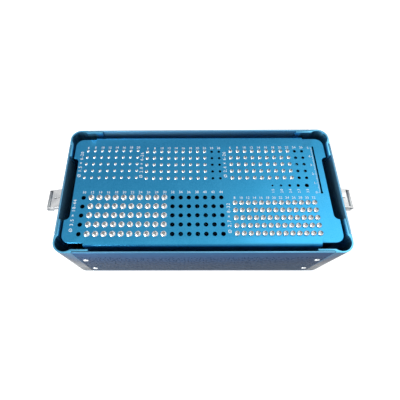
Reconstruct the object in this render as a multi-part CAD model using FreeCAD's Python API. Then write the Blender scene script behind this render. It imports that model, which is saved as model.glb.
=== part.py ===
import FreeCAD, Part
import math
import os

# Screw box: an anodised aluminium case, a lift-out rack of bone screws and a latch on each end.
# Millimetres. X runs along the length, Y from front (minus) to back (plus), Z is up.
# The origin lies on the surface that the feet stand on, under the middle of the case.

Vector = FreeCAD.Vector

# Case, over its feet
case_length = 260.0
case_depth = 130.0
case_height = 70.0
foot_height = 2.0

# Corner posts: one extruded section, stood on end in each corner
post_radius = 10.5
post_wall = 1.6
post_land = 17.3  # from the sharp corner to the panel's seat
arm_reach = 31.5  # from the sharp corner to the end of the inner arm
arm_thickness = 1.8

# Sheet panels between the posts
panel_thickness = 1.5
panel_seam = 0.2  # between a panel's edge and the post's land
panel_backing_gap = 0.3  # between a panel and the arm behind it
seam_chamfer = 0.4

# Panel rivets
rivet_head_radius = 2.4
rivet_head_height = 1.0
rivet_from_corner = 23.3
rivet_low_height = 15.0
rivet_high_height = 47.0
rivet_sides = 6

# Base pan
pan_thickness = 1.2
pan_flange_height = 18.0
pan_corner_radius = 10.0
pan_tongue_gap = 0.3  # between a tongue of the floor and the end of an arm
vent_length = 40.0
vent_width = 6.0
vent_corner_cut = 1.8
vent_pitch_x = 66.0
vent_pitch_y = 50.0
vent_columns = 3
vent_rows = 2

# Feet
foot_radius = 6.0
foot_inset_x = 18.0  # from the end of the case to the middle of the foot
foot_inset_y = 20.0

# Screw rack
rim_depth = 2.6  # from the case's rim down to the rack plate
rack_sheet = 2.0
rack_bend_radius = 3.0  # outside of the fold
rack_end_gap = 1.9  # plate end to the posts' inner arms
rack_wall_gap = 3.2  # rack wall to the posts' inner arms
rack_wall_setback = 20.0  # from the plate's end to the end of the fold
plate_corner_radius = 8.0
grip_depth = 4.7  # finger cut-out in each end of the plate
grip_length = 66.0
grip_corner_radius = 4.5
rack_base_sheet = 1.2
rack_base_flange = 10.0
rack_rivet_height = 9.0
rack_rivet_pitch = 80.0
rack_rivets_per_wall = 3
rack_rivet_head_radius = 2.0
rack_rivet_head_height = 0.8

# Sockets and screws
socket_clearance = 0.4  # on the screw's diameter
socket_margin = 8.0  # from a socket's middle to the plate's end, its fold or the length gauge
light_hole_sides = 8  # there are too many sockets to make each one truly round
pattern_block = "screws_3_5"  # the empty sockets whose four corners are round, as a mount
head_sides = 6
head_top_share = 0.66  # flat top of a head, as a share of its rim


class Block:
    """One block of sockets: the screws it holds, its grid and the columns that stand empty."""

    def __init__(
        self, size, head, height, left_x, back_y, pitch_x, pitch_y,
        columns, rows, left_empty_columns, right_empty_columns,
    ):
        self.size = size
        self.head_radius = head / 2
        self.head_height = height
        self.left_x = left_x
        self.back_y = back_y
        self.pitch_x = pitch_x
        self.pitch_y = pitch_y
        self.columns = columns
        self.rows = rows
        self.left_empty_columns = left_empty_columns
        self.right_empty_columns = right_empty_columns

    def column_x(self):
        """X of each column that the plate has room for, from the left."""
        every = [self.left_x + column * self.pitch_x for column in range(self.columns)]
        return [x for x in every if socket_margin - plate_half_length < x < ruler_x - socket_margin]

    def row_y(self):
        """Y of each row that the plate has room for, from the back."""
        every = [self.back_y - row * self.pitch_y for row in range(self.rows)]
        return [y for y in every if abs(y) < fold_y - socket_margin]

    def filled_x(self):
        """X of the columns that hold screws."""
        columns = self.column_x()
        return columns[self.left_empty_columns:len(columns) - self.right_empty_columns]

    def empty_x(self):
        """X of the columns that stand empty, at the left and at the right."""
        columns = self.column_x()
        return columns[:self.left_empty_columns] + self.right_empty_x()

    def right_empty_x(self):
        """X of the empty columns at the right."""
        columns = self.column_x()
        return columns[len(columns) - self.right_empty_columns:]

    def places(self, columns):
        """Middles of the sockets in these columns."""
        return [Vector(x, y, 0) for x in columns for y in self.row_y()]


blocks = {
    "screws_1_5": Block(
        size=1.5, head=3.0, height=1.4, left_x=-111.4, back_y=41.3, pitch_x=7.15, pitch_y=7.7,
        columns=8, rows=5, left_empty_columns=0, right_empty_columns=0,
    ),
    "screws_2_0": Block(
        size=2.0, head=3.5, height=1.6, left_x=-51.8, back_y=40.0, pitch_x=7.1, pitch_y=7.6,
        columns=11, rows=5, left_empty_columns=0, right_empty_columns=2,
    ),
    "screws_2_4": Block(
        size=2.4, head=4.0, height=1.8, left_x=30.6, back_y=40.2, pitch_x=7.1, pitch_y=7.6,
        columns=11, rows=5, left_empty_columns=0, right_empty_columns=2,
    ),
    "screws_2_7": Block(
        size=2.7, head=5.0, height=2.2, left_x=31.2, back_y=-16.6, pitch_x=6.1, pitch_y=7.5,
        columns=13, rows=5, left_empty_columns=0, right_empty_columns=0,
    ),
    "screws_3_5": Block(
        size=3.5, head=6.0, height=2.5, left_x=-109.4, back_y=-10.9, pitch_x=7.55, pitch_y=9.0,
        columns=18, rows=5, left_empty_columns=1, right_empty_columns=7,
    ),
}

# Length gauge: a slot with a round stop hole at its front end
ruler_from_end = 11.3  # from the plate's end to the middle of the slot
ruler_from_fold = 9.2  # from the fold to the back end of the slot
ruler_length = 52.0
ruler_slot_width = 1.6
ruler_stop_radius = 1.2

# Screw gauge: a row of test holes, one for each size
gauge_from_ruler = 12.8  # from the last test hole to the middle of the slot
gauge_y = 1.5
gauge_pitch = 8.1
gauge_clearance = 0.1

# Latches, told in a frame of their own: X away from the wall, Z up, hinge axis along Y
hinge_out = 3.9  # hinge axis from the wall's face
hinge_height = 45.0  # above the floor
hinge_pin_radius = 1.25
hinge_fit = 0.05  # radial clearance of every pin in its hole
knuckle_radius = 2.3
bracket_sheet = 1.2
bracket_width = 24.0
bracket_above_hinge = 5.0
bracket_below_hinge = 16.0
bracket_corner_cut = 2.0
bracket_ear_radius = 2.6
stop_width = 8.0
stop_clear = 3.2  # underside of the stop's foot clears the knuckle by this from the hinge axis
stop_reach = 4.6  # along the lever from the hinge axis
stop_thickness = 1.4
latch_rivet_across = 8.0
latch_rivet_drops = (6.9, 13.0)  # below the hinge axis
latch_rivet_head_radius = 1.8
latch_rivet_head_height = 0.8

lever_width = 21.0
lever_side_gap = 0.3  # lever to bracket ear
lever_sheet = 1.2
lever_plate_reach = 16.6
lever_slit_width = 1.5
lever_slit_reach = 14.4
lever_flange_start = 3.0
lever_rest_tilt = 12.0  # degrees below level

hook_pin_reach = 20.2  # from the hinge axis, along the lever
hook_pin_radius = 1.0
hook_side_gap = 0.4
hook_sheet = 1.0
hook_barrel_radius = 2.0
hook_drop = 9.0
hook_lip = 3.6  # outward from the pin axis
hook_ear_reach = 4.2
hook_ear_height = 4.0  # up from the foot of the hook
pin_stand_out = 0.4  # a pin's end beyond the ear that holds it

# Places that follow from the sizes above
half_length = case_length / 2
half_depth = case_depth / 2
shell_bottom = foot_height
shell_height = case_height - foot_height
arm_face = panel_thickness + panel_backing_gap
arm_back = arm_face + arm_thickness  # inner face of an arm, from the case's outer face
inner_half_length = half_length - arm_back
inner_half_depth = half_depth - arm_back
panel_start = post_land + panel_seam
pan_top = shell_bottom + pan_thickness
plate_top = case_height - rim_depth
plate_bottom = plate_top - rack_sheet
plate_half_length = inner_half_length - rack_end_gap
wall_outer_y = inner_half_depth - rack_wall_gap
wall_inner_y = wall_outer_y - rack_sheet
fold_y = wall_outer_y - rack_bend_radius  # where the flat of the plate ends and the fold begins
rack_wall_half_length = plate_half_length - rack_wall_setback
ruler_x = plate_half_length - ruler_from_end
ruler_back_y = fold_y - ruler_from_fold
ruler_zero_y = ruler_back_y - ruler_length
gauge_left_x = ruler_x - gauge_from_ruler - (len(blocks) - 1) * gauge_pitch
lever_half_width = lever_width / 2
bracket_ear_inner = lever_half_width + lever_side_gap
bracket_ear_outer = bracket_width / 2
lever_flange_inner = lever_half_width - lever_sheet
hook_half_width = lever_flange_inner - hook_side_gap

X_AXIS = Vector(1, 0, 0)
Y_AXIS = Vector(0, 1, 0)
Z_AXIS = Vector(0, 0, 1)
ORIGIN = Vector(0, 0, 0)
SAME_PLACE = 1e-6  # two coordinates closer than this are the same


def box(low, high):
    """Block between two opposite corners."""
    size = high - low
    return Part.makeBox(size.x, size.y, size.z, low)


def across(x, z, radius, half_width):
    """Cylinder along Y through (x, z), from -half_width to +half_width."""
    return Part.makeCylinder(radius, 2 * half_width, Vector(x, -half_width, z), Y_AXIS)


def fused(pieces):
    """One solid from pieces that meet or overlap, without the seams between them."""
    return pieces[0].multiFuse(pieces[1:]).removeSplitter()


def mirrored(shape, normal):
    """Mirror image in the plane through the origin with this normal."""
    return shape.mirror(ORIGIN, normal)


def upright_edges(shape, x, y):
    """Edges of a shape that stand upright at (x, y)."""
    found = []
    for edge in shape.Edges:
        spans = edge.BoundBox
        upright = spans.XLength < SAME_PLACE and spans.YLength < SAME_PLACE
        if upright and math.hypot(spans.XMin - x, spans.YMin - y) < SAME_PLACE:
            found.append(edge)
    return found


def ring(radius, sides, z):
    """Corners of a regular polygon round the Z axis, the first one again at the end."""
    corners = []
    for side in range(sides + 1):
        turn = 2 * math.pi * (side % sides) / sides
        corners.append(Vector(radius * math.cos(turn), radius * math.sin(turn), z))
    return corners


def flat_face(corners):
    """Flat face inside a closed run of corners."""
    return Part.Face(Part.makePolygon(corners))


def button(radius, height, sides):
    """Low head with flat sides that stands on Z = 0, as wide as a round one of this radius."""
    foot_ring = ring(radius, sides, 0)
    top_ring = ring(head_top_share * radius, sides, height)
    faces = [flat_face(foot_ring), flat_face(top_ring)]
    for side in range(sides):
        low_a = foot_ring[side]
        low_b = foot_ring[side + 1]
        faces.append(flat_face([low_a, low_b, top_ring[side + 1], top_ring[side], low_a]))
    return Part.makeSolid(Part.makeShell(faces))


def button_facing(radius, height, direction):
    """The same head, standing on the plane through the origin that faces this way."""
    head = button(radius, height, rivet_sides)
    head.Placement = FreeCAD.Placement(ORIGIN, FreeCAD.Rotation(Z_AXIS, direction))
    return head


# Case


def corner_post():
    """Post for the front left corner: rounded skin, round pocket, panel lands and inner arms."""
    middle = Vector(post_radius, post_radius, 0)
    skin = Part.makeCylinder(post_radius, shell_height, middle)
    skin = skin.common(box(ORIGIN, Vector(post_radius, post_radius, shell_height)))
    land = box(Vector(post_radius, 0, 0), Vector(post_land, arm_back, shell_height))
    arm = box(Vector(post_radius, arm_face, 0), Vector(arm_reach, arm_back, shell_height))
    side = land.fuse(arm)
    diagonal = Vector(1, -1, 0)
    body = fused([skin, side, mirrored(side, diagonal)])
    pocket = Part.makeCylinder(post_radius - post_wall, shell_height, middle)
    body = body.cut(pocket)
    seams = upright_edges(body, post_land, 0) + upright_edges(body, 0, post_land)
    body = body.makeChamfer(seam_chamfer, seams)
    body.translate(Vector(-half_length, -half_depth, shell_bottom))
    return body


def long_panel():
    """Front panel."""
    end = half_length - panel_start
    low = Vector(-end, -half_depth, shell_bottom)
    high = Vector(end, -half_depth + panel_thickness, case_height)
    panel = box(low, high)
    seams = upright_edges(panel, -end, -half_depth) + upright_edges(panel, end, -half_depth)
    return panel.makeChamfer(seam_chamfer, seams)


def short_panel():
    """Right end panel."""
    end = half_depth - panel_start
    low = Vector(half_length - panel_thickness, -end, shell_bottom)
    high = Vector(half_length, end, case_height)
    panel = box(low, high)
    seams = upright_edges(panel, half_length, -end) + upright_edges(panel, half_length, end)
    return panel.makeChamfer(seam_chamfer, seams)


def panel_rivets():
    """Rivet heads, four on each panel."""
    heads = []
    along_x = half_length - rivet_from_corner
    along_y = half_depth - rivet_from_corner
    for sign in (-1, 1):
        on_long = button_facing(rivet_head_radius, rivet_head_height, Vector(0, sign, 0))
        on_short = button_facing(rivet_head_radius, rivet_head_height, Vector(sign, 0, 0))
        for side in (-1, 1):
            for height in (rivet_low_height, rivet_high_height):
                heads.append(on_long.translated(Vector(side * along_x, sign * half_depth, height)))
                heads.append(on_short.translated(Vector(sign * half_length, side * along_y, height)))
    return Part.makeCompound(heads)


def rounded_plate(half_x, half_y, low, high, radius):
    """Flat plate with round corners, centred on the Z axis."""
    plate = box(Vector(-half_x, -half_y, low), Vector(half_x, half_y, high))
    corners = []
    for x in (-half_x, half_x):
        for y in (-half_y, half_y):
            corners += upright_edges(plate, x, y)
    return plate.makeFillet(radius, corners)


def light_slot(length, width, low, high):
    """Cutter for a slot along X with cut corners, centred on the Z axis."""
    slot = box(Vector(-length / 2, -width / 2, low), Vector(length / 2, width / 2, high))
    corners = []
    for x in (-length / 2, length / 2):
        for y in (-width / 2, width / 2):
            corners += upright_edges(slot, x, y)
    return slot.makeChamfer(vent_corner_cut, corners)


def base_pan():
    """Floor of the case: flanges turned up behind the arms, tongues out to the panels, steam vents."""
    floor = rounded_plate(inner_half_length, inner_half_depth, shell_bottom, pan_top, pan_corner_radius)
    top = pan_top + pan_flange_height
    flange_x = half_length - panel_start
    flange_y = half_depth - panel_start
    tongue_x = half_length - arm_reach - pan_tongue_gap
    tongue_y = half_depth - arm_reach - pan_tongue_gap
    pieces = [floor]
    for sign in (-1, 1):
        y_faces = sorted((sign * inner_half_depth, sign * (inner_half_depth - pan_thickness)))
        x_faces = sorted((sign * inner_half_length, sign * (inner_half_length - pan_thickness)))
        low = Vector(-flange_x, y_faces[0], shell_bottom)
        pieces.append(box(low, Vector(flange_x, y_faces[1], top)))
        low = Vector(x_faces[0], -flange_y, shell_bottom)
        pieces.append(box(low, Vector(x_faces[1], flange_y, top)))
        x_faces = sorted((sign * inner_half_length, sign * (half_length - panel_thickness)))
        low = Vector(x_faces[0], -tongue_y, shell_bottom)
        pieces.append(box(low, Vector(x_faces[1], tongue_y, pan_top)))
        y_faces = sorted((sign * inner_half_depth, sign * (half_depth - panel_thickness)))
        low = Vector(-tongue_x, y_faces[0], shell_bottom)
        pieces.append(box(low, Vector(tongue_x, y_faces[1], pan_top)))
    pan = fused(pieces)
    vent = light_slot(vent_length, vent_width, shell_bottom, pan_top)
    vents = []
    for column in range(vent_columns):
        for row in range(vent_rows):
            x = (column - (vent_columns - 1) / 2) * vent_pitch_x
            y = (row - (vent_rows - 1) / 2) * vent_pitch_y
            vents.append(vent.translated(Vector(x, y, 0)))
    return pan.cut(vents)


def feet():
    """Rubber feet, one under each corner of the pan."""
    pads = []
    for x in (foot_inset_x - half_length, half_length - foot_inset_x):
        for y in (foot_inset_y - half_depth, half_depth - foot_inset_y):
            pads.append(Part.makeCylinder(foot_radius, foot_height, Vector(x, y, 0)))
    return Part.makeCompound(pads)


# Screw rack


def rack_plate():
    """Drilled plate: empty sockets, screw gauge, length gauge and finger cut-outs."""
    plate = rounded_plate(plate_half_length, fold_y, plate_bottom, plate_top, plate_corner_radius)
    cutters = grip_cutters() + socket_cutters() + gauge_cutters() + ruler_cutters()
    return plate.cut(cutters)


def grip_cutters():
    """Shallow finger cut-out in each end of the plate."""
    inner = plate_half_length - grip_depth
    half = grip_length / 2
    block = box(Vector(inner, -half, plate_bottom), Vector(half_length, half, plate_top))
    corners = upright_edges(block, inner, -half) + upright_edges(block, inner, half)
    cutter = block.makeFillet(grip_corner_radius, corners)
    return [cutter, mirrored(cutter, X_AXIS)]


def drill(place, radius):
    """Cutter for a round hole through the plate."""
    return Part.makeCylinder(radius, rack_sheet, Vector(place.x, place.y, plate_bottom))


def light_drill(place, radius):
    """The same hole with flat sides, as wide as the round one between opposite corners."""
    cutter = flat_face(ring(radius, light_hole_sides, plate_bottom)).extrude(Vector(0, 0, rack_sheet))
    return cutter.translated(Vector(place.x, place.y, 0))


def socket_cutters():
    """Holes of the columns that hold no screws: round at the corners of the mount pattern."""
    holes = []
    for name, block in blocks.items():
        radius = (block.size + socket_clearance) / 2
        corners = []
        if name == pattern_block:
            columns = block.right_empty_x()
            rows = block.row_y()
            corners = [Vector(x, y, 0) for x in (columns[0], columns[-1]) for y in (rows[0], rows[-1])]
        for place in block.places(block.empty_x()):
            cutter = drill if place in corners else light_drill
            holes.append(cutter(place, radius))
    return holes


def gauge_cutters():
    """One test hole for each screw size."""
    holes = []
    for index, block in enumerate(blocks.values()):
        place = Vector(gauge_left_x + index * gauge_pitch, gauge_y, 0)
        holes.append(light_drill(place, (block.size + gauge_clearance) / 2))
    return holes


def ruler_cutters():
    """Length gauge slot, which ends at the front in a round stop hole."""
    low = Vector(ruler_x - ruler_slot_width / 2, ruler_zero_y, plate_bottom)
    high = Vector(ruler_x + ruler_slot_width / 2, ruler_back_y, plate_top)
    return [box(low, high), light_drill(Vector(ruler_x, ruler_zero_y, 0), ruler_stop_radius)]


def rack_wall():
    """Back wall of the rack: the fold beside the plate and the flat that stands on the pan."""
    half = rack_wall_half_length
    inner_radius = rack_bend_radius - rack_sheet
    low_edge = plate_top - rack_bend_radius
    slant = math.sin(math.pi / 4)

    def on_fold(radius):
        return Vector(-half, fold_y + radius * slant, low_edge + radius * slant)

    top_outer = Vector(-half, fold_y, plate_top)
    side_outer = Vector(-half, wall_outer_y, low_edge)
    foot_outer = Vector(-half, wall_outer_y, pan_top)
    foot_inner = Vector(-half, wall_inner_y, pan_top)
    side_inner = Vector(-half, wall_inner_y, low_edge)
    top_inner = Vector(-half, fold_y, plate_bottom)
    outline = Part.Wire([
        Part.Arc(top_outer, on_fold(rack_bend_radius), side_outer).toShape(),
        Part.makeLine(side_outer, foot_outer),
        Part.makeLine(foot_outer, foot_inner),
        Part.makeLine(foot_inner, side_inner),
        Part.Arc(side_inner, on_fold(inner_radius), top_inner).toShape(),
        Part.makeLine(top_inner, top_outer),
    ])
    return Part.Face(outline).extrude(Vector(2 * half, 0, 0))


def rack_base():
    """Sheet between the feet of the two rack walls, with a flange riveted to each."""
    half = rack_wall_half_length
    floor_top = pan_top + rack_base_sheet
    floor = box(Vector(-half, -wall_inner_y, pan_top), Vector(half, wall_inner_y, floor_top))
    flange_top = pan_top + rack_base_flange
    low = Vector(-half, wall_inner_y - rack_base_sheet, pan_top)
    back = box(low, Vector(half, wall_inner_y, flange_top))
    return fused([floor, back, mirrored(back, Y_AXIS)])


def rack_rivets():
    """Rivet heads low on the outside of both rack walls."""
    heads = []
    for sign in (-1, 1):
        head = button_facing(rack_rivet_head_radius, rack_rivet_head_height, Vector(0, sign, 0))
        for index in range(rack_rivets_per_wall):
            x = (index - (rack_rivets_per_wall - 1) / 2) * rack_rivet_pitch
            heads.append(head.translated(Vector(x, sign * wall_outer_y, rack_rivet_height)))
    return Part.makeCompound(heads)


def seated_screws(block):
    """Heads of one size of screw, each on the plate over its socket."""
    head = button(block.head_radius, block.head_height, head_sides)
    heads = []
    for place in block.places(block.filled_x()):
        heads.append(head.translated(place + Vector(0, 0, plate_top)))
    return Part.makeCompound(heads)


# Latch, in its own frame: the wall's face is X = 0 and the hinge axis is at Z = 0


def on_lever(along, above):
    """Point of the resting lever, by its distance along and above the line through the hinge axis."""
    tilt = math.radians(lever_rest_tilt)
    x = hinge_out + along * math.cos(tilt) + above * math.sin(tilt)
    return Vector(x, 0, above * math.cos(tilt) - along * math.sin(tilt))


def latch_stop():
    """Tongue pressed out of the bracket, which the resting lever lies on."""
    under = knuckle_radius - lever_sheet
    tip = on_lever(stop_reach, under)
    heel = on_lever(stop_reach - stop_thickness, under)
    root = bracket_sheet / 2
    below = -stop_clear - bracket_sheet
    corners = [
        Vector(root, 0, -stop_clear),
        Vector(heel.x, 0, -stop_clear),
        heel,
        tip,
        Vector(tip.x, 0, below),
        Vector(root, 0, below),
        Vector(root, 0, -stop_clear),
    ]
    face = Part.Face(Part.makePolygon(corners))
    face.translate(Vector(0, -stop_width / 2, 0))
    return face.extrude(Vector(0, stop_width, 0))


def latch_bracket():
    """Plate on the wall, with two ears that hold the hinge pin and a stop for the lever."""
    low = Vector(0, -bracket_ear_outer, -bracket_below_hinge)
    plate = box(low, Vector(bracket_sheet, bracket_ear_outer, bracket_above_hinge))
    corners = []
    for edge in plate.Edges:
        if max(edge.BoundBox.YLength, edge.BoundBox.ZLength) < SAME_PLACE:
            corners.append(edge)
    plate = plate.makeChamfer(bracket_corner_cut, corners)
    pieces = [plate, latch_stop()]
    low = Vector(bracket_sheet / 2, bracket_ear_inner, -bracket_ear_radius)
    arm = box(low, Vector(hinge_out, bracket_ear_outer, bracket_ear_radius))
    thickness = bracket_ear_outer - bracket_ear_inner
    tip = Part.makeCylinder(bracket_ear_radius, thickness, Vector(hinge_out, bracket_ear_inner, 0), Y_AXIS)
    ear = arm.fuse(tip)
    bracket = fused(pieces + [ear, mirrored(ear, Y_AXIS)])
    return bracket.cut(across(hinge_out, 0, hinge_pin_radius + hinge_fit, bracket_ear_outer))


def latch_rivets():
    """Four rivet heads on the bracket, below the lever's sweep."""
    head = button_facing(latch_rivet_head_radius, latch_rivet_head_height, X_AXIS)
    heads = []
    for y in (-latch_rivet_across, latch_rivet_across):
        for drop in latch_rivet_drops:
            heads.append(head.translated(Vector(bracket_sheet, y, -drop)))
    return Part.makeCompound(heads)


def tilted(shape):
    """Turned about the hinge axis from level to the lever's rest."""
    shape.rotate(Vector(hinge_out, 0, 0), Y_AXIS, lever_rest_tilt)
    return shape


def latch_lever():
    """Lever: slit plate rolled round the hinge pin, with side flanges that carry the hook pin."""
    under = knuckle_radius - lever_sheet
    low = Vector(hinge_out, -lever_half_width, under)
    plate = box(low, Vector(hinge_out + lever_plate_reach, lever_half_width, knuckle_radius))
    knuckle = across(hinge_out, 0, knuckle_radius, lever_half_width)
    pin_x = hinge_out + hook_pin_reach
    low = Vector(hinge_out + lever_flange_start, lever_flange_inner, -knuckle_radius)
    web = box(low, Vector(pin_x, lever_half_width, knuckle_radius))
    eye = Part.makeCylinder(knuckle_radius, lever_sheet, Vector(pin_x, lever_flange_inner, 0), Y_AXIS)
    flange = web.fuse(eye)
    lever = fused([plate, knuckle, flange, mirrored(flange, Y_AXIS)])
    low = Vector(hinge_out + knuckle_radius, -lever_slit_width / 2, under)
    slit = box(low, Vector(hinge_out + lever_slit_reach, lever_slit_width / 2, knuckle_radius))
    bore = across(hinge_out, 0, hinge_pin_radius + hinge_fit, lever_half_width)
    eyes = across(pin_x, 0, hook_pin_radius + hinge_fit, lever_half_width)
    return tilted(lever.cut([slit, bore, eyes]))


def latch_hook():
    """Hook that hangs from its pin: rolled barrel, web, lip at the foot and an ear at each side."""
    pin = on_lever(hook_pin_reach, 0)
    inner = -hook_barrel_radius
    barrel = across(0, 0, hook_barrel_radius, hook_half_width)
    web = box(Vector(inner, -hook_half_width, -hook_drop), Vector(inner + hook_sheet, hook_half_width, 0))
    low = Vector(inner, -hook_half_width, -hook_drop)
    lip = box(low, Vector(hook_lip, hook_half_width, -hook_drop + hook_sheet))
    low = Vector(inner, hook_half_width - hook_sheet, -hook_drop)
    ear = box(low, Vector(hook_ear_reach, hook_half_width, -hook_drop + hook_ear_height))
    hook = fused([barrel, web, lip, ear, mirrored(ear, Y_AXIS)])
    hook = hook.cut(across(0, 0, hook_pin_radius + hinge_fit, hook_half_width))
    hook.translate(pin)
    return hook


def hook_pin():
    """Pin through the lever's flanges and the hook's barrel."""
    place = on_lever(hook_pin_reach, 0)
    return across(place.x, place.z, hook_pin_radius, lever_half_width + pin_stand_out)


def latch_parts():
    """The six pieces of a latch, in the latch's own frame."""
    return {
        "latch_bracket": latch_bracket(),
        "latch_rivets": latch_rivets(),
        "hinge_pin": across(hinge_out, 0, hinge_pin_radius, bracket_ear_outer + pin_stand_out),
        "lever": latch_lever(),
        "hook_pin": hook_pin(),
        "hook": latch_hook(),
    }


def all_parts():
    """Every node of the box, by name."""
    parts = {}
    post = corner_post()
    back_post = mirrored(post, Y_AXIS)
    parts["post_front_left"] = post
    parts["post_front_right"] = mirrored(post, X_AXIS)
    parts["post_back_left"] = back_post
    parts["post_back_right"] = mirrored(back_post, X_AXIS)
    parts["panel_front"] = long_panel()
    parts["panel_back"] = mirrored(parts["panel_front"], Y_AXIS)
    parts["panel_right"] = short_panel()
    parts["panel_left"] = mirrored(parts["panel_right"], X_AXIS)
    parts["panel_rivets"] = panel_rivets()
    parts["base_pan"] = base_pan()
    parts["feet"] = feet()
    parts["rack_plate"] = rack_plate()
    parts["rack_wall_back"] = rack_wall()
    parts["rack_wall_front"] = mirrored(parts["rack_wall_back"], Y_AXIS)
    parts["rack_base"] = rack_base()
    parts["rack_rivets"] = rack_rivets()
    for name, block in blocks.items():
        parts[name] = seated_screws(block)
    for name, shape in latch_parts().items():
        placed = shape.translated(Vector(half_length, 0, hinge_height))
        parts[f"right_{name}"] = placed
        parts[f"left_{name}"] = mirrored(placed, X_AXIS)
    return parts


os.makedirs("parts", exist_ok=True)
for name, shape in all_parts().items():
    shape.exportStep(f"parts/{name}.step")
    print(name, "solids", len(shape.Solids), "volume", round(shape.Volume, 1), "valid", shape.isValid())
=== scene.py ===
# %% [markdown]
# # An aluminium box for bone screws
# The box is a case of blue anodised aluminium: four extruded corner posts, four sheet panels and a
# pressed floor. A folded rack drops into it, drilled with sockets, and small polished screws stand in
# the sockets by size. A stainless latch hangs on each end.
# The frame already holds every piece at its real size, so this file only gives the pieces their looks:
# softer edges, round holes, real screw heads, marked numbers and a finish for each metal.

import math

import bmesh
import bpy
from mathutils import Matrix, Vector


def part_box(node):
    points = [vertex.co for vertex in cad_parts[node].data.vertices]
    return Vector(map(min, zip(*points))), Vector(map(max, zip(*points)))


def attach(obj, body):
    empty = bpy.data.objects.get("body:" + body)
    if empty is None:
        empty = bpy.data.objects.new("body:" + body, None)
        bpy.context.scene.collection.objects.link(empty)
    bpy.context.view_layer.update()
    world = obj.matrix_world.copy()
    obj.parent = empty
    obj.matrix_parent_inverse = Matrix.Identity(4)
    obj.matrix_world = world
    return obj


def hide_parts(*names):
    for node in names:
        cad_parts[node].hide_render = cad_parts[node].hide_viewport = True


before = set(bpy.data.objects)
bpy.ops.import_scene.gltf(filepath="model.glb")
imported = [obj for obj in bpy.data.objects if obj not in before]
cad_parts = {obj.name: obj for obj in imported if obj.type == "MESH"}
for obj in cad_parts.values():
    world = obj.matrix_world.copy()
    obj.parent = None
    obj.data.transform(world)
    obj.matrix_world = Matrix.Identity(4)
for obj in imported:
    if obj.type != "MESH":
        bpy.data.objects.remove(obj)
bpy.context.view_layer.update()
print("nodes in the frame:", len(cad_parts))

# %% [markdown]
# ## Millimetres
# The frame is in metres, but a maker thinks of sheet and screws in millimetres. Every piece is modelled
# in millimetres and made a thousand times smaller at the end. Places are read from the frame wherever
# it has them, so a piece follows the frame if a size changes there.

# %% Read places from the frame
MILLIMETRE = 0.001


def span(node):
    """Lowest and highest corner of a node of the frame, in millimetres."""
    low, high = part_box(node)
    return low / MILLIMETRE, high / MILLIMETRE


case_low, case_high = span("post_front_left")
half_length = -case_low.x
half_depth = -case_low.y
case_height = case_high.z
shell_bottom = case_low.z
print("case, in millimetres:", round(2 * half_length), round(2 * half_depth), round(case_height))

# %% [markdown]
# ## The camera
# The photograph looks down on the box from the front, a little left of its middle, through a wide lens.
# The place, turn and focal length here were fitted to the corners of the rim and to the rows of sockets.
# The lens shift stands for the way the picture was cropped.

# %% Set up the camera
picture_width = 400  # pixels, and the picture is square
focal_pixels = 288.7
centre_x_pixels = 180.4
centre_y_pixels = 219.2
camera_place = Vector((-17.5, -132.8, 307.8))
camera_turn = (22.59, 0.38, 0.0)  # degrees about X, Y and Z

camera_data = bpy.data.cameras.new("camera")
camera_data.lens = focal_pixels / picture_width * camera_data.sensor_width
camera_data.shift_x = (picture_width / 2 - centre_x_pixels) / picture_width
camera_data.shift_y = (centre_y_pixels - picture_width / 2) / picture_width
camera_data.clip_start = 0.01
camera = bpy.data.objects.new("camera", camera_data)
camera.location = camera_place * MILLIMETRE
camera.rotation_euler = [math.radians(turn) for turn in camera_turn]
bpy.context.scene.collection.objects.link(camera)
bpy.context.scene.camera = camera
print("lens, in millimetres:", round(camera_data.lens, 1))

# %% [markdown]
# ## Helpers for finishes
# A finish is a small tree of nodes. One helper turns the sRGB hex value that a colour is known by into
# the linear value that the shader wants. Another adds a node, sets it and links it in one line, and the
# short ones below it name the few kinds of node that every finish here is made of.

# %% Colour and node helpers


def linear(hex_colour):
    """Linear colour of an sRGB hex value such as 2f8fbe."""
    channels = []
    for start in (0, 2, 4):
        value = int(hex_colour[start:start + 2], 16) / 255
        channels.append(value / 12.92 if value <= 0.04045 else ((value + 0.055) / 1.055) ** 2.4)
    return (*channels, 1.0)


def add(tree, kind, inputs=None, **settings):
    """Adds a node with these settings. An input is a value, or the output of another node."""
    node = tree.nodes.new(kind)
    for name, value in settings.items():
        setattr(node, name, value)
    for name, value in (inputs or {}).items():
        if isinstance(value, bpy.types.NodeSocket):
            tree.links.new(value, node.inputs[name])
        else:
            node.inputs[name].default_value = value
    return node


def per_metre(millimetres):
    """Scale of a pattern whose features are this far apart."""
    return 1 / (millimetres * MILLIMETRE)


def noise(tree, place, spacing_mm, detail):
    """Noise whose features are this far apart."""
    inputs = {"Vector": place, "Scale": per_metre(spacing_mm), "Detail": detail}
    return add(tree, "ShaderNodeTexNoise", inputs).outputs[0]


def stretched(tree, place, scale):
    """The place, long along each axis whose scale is small."""
    return add(tree, "ShaderNodeMapping", {"Vector": place, "Scale": scale}).outputs[0]


def calculated(tree, operation, *values):
    """Result of a sum or a comparison."""
    return add(tree, "ShaderNodeMath", dict(enumerate(values)), operation=operation).outputs[0]


def carried(tree, value, low, high, to_low=0.0, to_high=1.0):
    """A value carried from one range to another."""
    inputs = {"Value": value, "From Min": low, "From Max": high, "To Min": to_low, "To Max": to_high}
    return add(tree, "ShaderNodeMapRange", inputs).outputs[0]


def mixed(tree, factor, first, second):
    """Colour between two, each a linear colour or the output of another node."""
    inputs = {"Factor": factor, "A": first, "B": second}
    return add(tree, "ShaderNodeMix", inputs, data_type="RGBA").outputs["Result"]


# %% Start and end of a finish


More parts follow.
